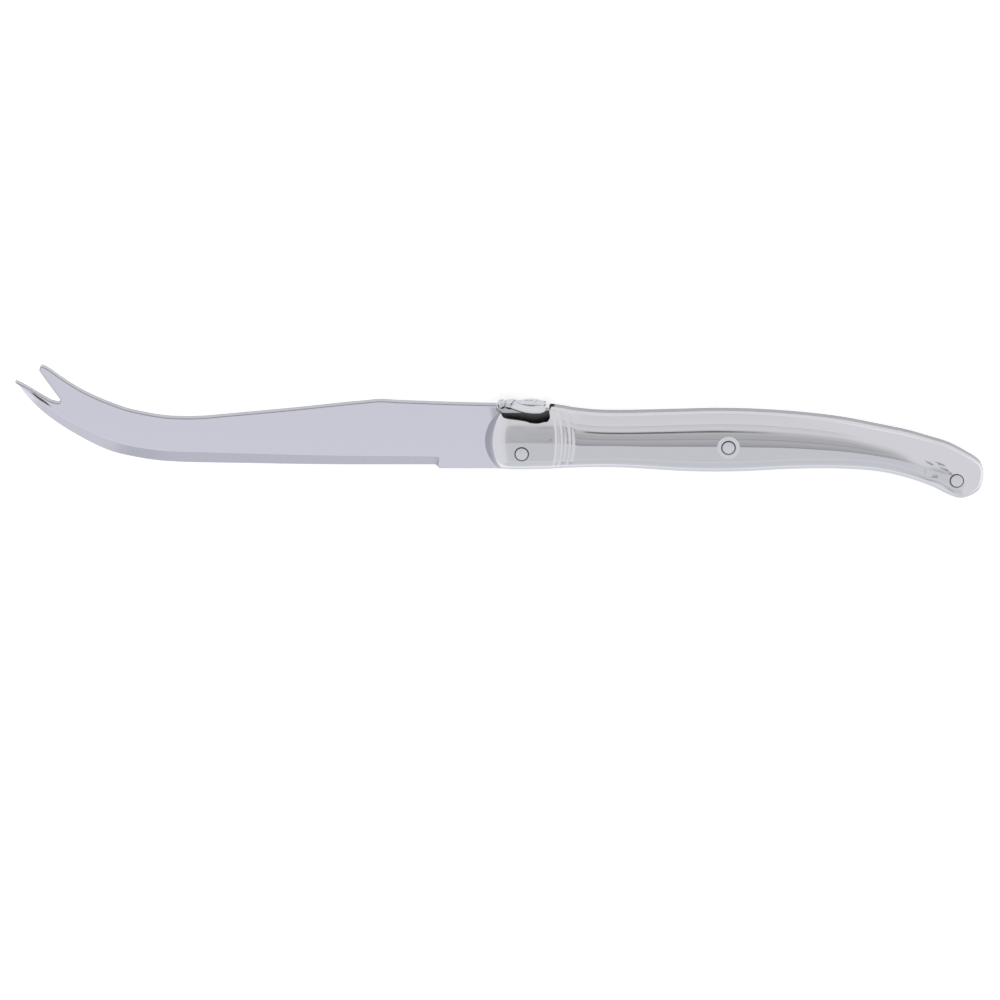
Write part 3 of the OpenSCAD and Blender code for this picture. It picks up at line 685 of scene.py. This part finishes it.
# Matt white laminate: it shows white, and keeps a faint shadow of the knife
matt_laminate = bpy.data.materials.new("matt_white_laminate")
matt_laminate.use_nodes = True
tree = matt_laminate.node_tree
tree.nodes.clear()
rays = add_node(tree, "ShaderNodeLightPath").outputs
seen = add_node(tree, "ShaderNodeMath", {0: rays["Is Camera Ray"], 1: rays["Is Glossy Ray"]},
                operation="MAXIMUM")
seen = add_node(tree, "ShaderNodeMath", {0: seen.outputs[0], 1: rays["Is Transmission Ray"]},
                operation="MAXIMUM")
lit = add_node(tree, "ShaderNodeBsdfDiffuse", {"Color": linear("#d9d9d9")})
glow = add_node(tree, "ShaderNodeEmission", {"Color": (1, 1, 1, 1), "Strength": 0.56})
both = add_node(tree, "ShaderNodeAddShader", {0: lit.outputs[0], 1: glow.outputs[0]})
mixed = add_node(tree, "ShaderNodeMixShader", {0: seen.outputs[0], 1: lit.outputs[0], 2: both.outputs[0]})
add_node(tree, "ShaderNodeOutputMaterial", {"Surface": mixed.outputs[0]})
sheet.materials.append(matt_laminate)

world = bpy.data.worlds.new("studio")
bpy.context.scene.world = world
world.use_nodes = True
tree = world.node_tree
tree.nodes.clear()
toward = add_node(tree, "ShaderNodeSeparateXYZ",
                  {0: add_node(tree, "ShaderNodeTexCoord").outputs["Generated"]}).outputs
angle = add_node(tree, "ShaderNodeMath", {0: toward["Y"], 1: toward["Z"]}, operation="ARCTAN2").outputs[0]
angle = add_node(tree, "ShaderNodeMath", {0: angle, 1: 180 / math.pi}, operation="MULTIPLY").outputs[0]


def bands(stops):
    """Brightness by the angle, from a list of angles in degrees and strengths."""
    low, high = stops[0][0], stops[-1][0]
    share = add_node(tree, "ShaderNodeMapRange", {"Value": angle, "From Min": low, "From Max": high})
    ramp = add_node(tree, "ShaderNodeValToRGB", {"Fac": share.outputs[0]})
    marks = ramp.color_ramp.elements
    while len(marks) < len(stops):
        marks.new(0.5)
    for stop, (at, _) in zip(marks, stops):
        stop.position = (at - low) / (high - low)
    # The sky is a little cooler towards the edge side
    for stop, (at, strength) in zip(marks, stops):
        cool = max(0.0, min(1.0, (10 - at) / 30))
        stop.color = (strength * (1 - 0.012 * cool), strength, strength * (1 + 0.045 * cool), 1)
    return ramp.outputs["Color"]


# The bands that the knife mirrors in the photo's view lie between these two angles
low_end, high_end = -30.0, 42.0
overhead = bands([(low_end, 0.8), (-19, 0.79), (-14.6, 0.76), (-13.4, 0.45), (-12, 0.38), (-10.4, 0.42),
                  (-9, 0.5), (-5, 0.56), (-2.2, 0.6), (-1, 0.38), (0.2, 0.56), (3, 0.56), (6, 0.57),
                  (9.5, 0.66), (14, 0.7), (17, 0.87), (22, 0.82), (27.6, 0.8), (28.6, 0.55), (29.6, 0.9),
                  (34, 0.9), (high_end, 0.88)])
around = bands([(-180, 0.85), (-120, 0.85), (-90, 0.86), (-60, 0.76), (-40, 0.78), (low_end, 0.8),
                (high_end, 0.88), (70, 0.86), (90, 0.86), (120, 0.86), (180, 0.85)])
above_low = add_node(tree, "ShaderNodeMath", {0: angle, 1: low_end}, operation="GREATER_THAN").outputs[0]
below_high = add_node(tree, "ShaderNodeMath", {0: angle, 1: high_end}, operation="LESS_THAN").outputs[0]
inside = add_node(tree, "ShaderNodeMath", {0: above_low, 1: below_high}, operation="MULTIPLY").outputs[0]
sky = add_node(tree, "ShaderNodeMix", {0: inside, 6: around, 7: overhead}, data_type="RGBA").outputs[2]
aside = add_node(tree, "ShaderNodeMath", {0: toward["X"]}, operation="ABSOLUTE").outputs[0]
# A dark slot between two lamps, at this angle and short along the knife
slot_at = 12.0
off_slot = add_node(tree, "ShaderNodeMath", {0: angle, 1: slot_at}, operation="SUBTRACT").outputs[0]
off_slot = add_node(tree, "ShaderNodeMath", {0: off_slot}, operation="ABSOLUTE").outputs[0]
across = add_node(tree, "ShaderNodeMapRange",
                  {"Value": off_slot, "From Min": 0.8, "From Max": 2.3, "To Min": 0.92, "To Max": 0.0},
                  interpolation_type="SMOOTHSTEP").outputs[0]
along = add_node(tree, "ShaderNodeMapRange",
                 {"Value": aside, "From Min": 0.036, "From Max": 0.05, "To Min": 1.0, "To Max": 0.0},
                 interpolation_type="SMOOTHSTEP").outputs[0]
slot_share = add_node(tree, "ShaderNodeMath", {0: across, 1: along}, operation="MULTIPLY").outputs[0]
sky = add_node(tree, "ShaderNodeMix", {0: slot_share, 6: sky, 7: (0.06, 0.06, 0.07, 1)},
               data_type="RGBA").outputs[2]
# Towards the ends of the knife the studio is plain
plain = add_node(tree, "ShaderNodeMapRange", {"Value": aside, "From Min": 0.1, "From Max": 0.2},
                 interpolation_type="SMOOTHSTEP").outputs[0]
sky = add_node(tree, "ShaderNodeMix", {0: plain, 6: sky, 7: (0.9, 0.9, 0.92, 1)}, data_type="RGBA").outputs[2]
# A grey card at the blade's end of the table, low on the edge side, shades the start of the bevel
card_low = add_node(tree, "ShaderNodeMapRange", {"Value": toward["X"], "From Min": -0.2, "From Max": -0.18},
                    interpolation_type="SMOOTHSTEP").outputs[0]
card_high = add_node(tree, "ShaderNodeMapRange",
                     {"Value": toward["X"], "From Min": -0.16, "From Max": -0.09,
                      "To Min": 1.0, "To Max": 0.0}, interpolation_type="SMOOTHSTEP").outputs[0]
card_at = -60.0
off_card = add_node(tree, "ShaderNodeMath", {0: angle, 1: card_at}, operation="SUBTRACT").outputs[0]
off_card = add_node(tree, "ShaderNodeMath", {0: off_card}, operation="ABSOLUTE").outputs[0]
card_wide = add_node(tree, "ShaderNodeMapRange",
                     {"Value": off_card, "From Min": 12.0, "From Max": 18.0, "To Min": 0.45, "To Max": 0.0},
                     interpolation_type="SMOOTHSTEP").outputs[0]
card = add_node(tree, "ShaderNodeMath", {0: card_low, 1: card_high}, operation="MULTIPLY").outputs[0]
card = add_node(tree, "ShaderNodeMath", {0: card, 1: card_wide}, operation="MULTIPLY").outputs[0]
sky = add_node(tree, "ShaderNodeMix", {0: card, 6: sky, 7: (0.2, 0.2, 0.22, 1)}, data_type="RGBA").outputs[2]
light = add_node(tree, "ShaderNodeBackground", {"Color": sky, "Strength": 1.0})
add_node(tree, "ShaderNodeOutputWorld", {"Surface": light.outputs[0]})

# The camera looks down on the knife from the side of its back, far off with a long lens
tilt, distance, view_w = 17.0, 2.0, 0.2433
aim = Vector((0, -0.0175, (cad_low.z + cad_high.z) / 2))
lens = bpy.data.cameras.new("camera")
lens.sensor_width = 36
lens.lens = 36 * distance / view_w
camera = bpy.data.objects.new("camera", lens)
bpy.context.scene.collection.objects.link(camera)
slant = math.radians(tilt)
camera.location = aim + Vector((0, math.sin(slant), math.cos(slant))) * distance
camera.rotation_euler = (-slant, 0, 0)
lens.clip_start, lens.clip_end = 0.1, 100
bpy.context.scene.camera = camera
bpy.context.scene.view_settings.view_transform = "Standard"
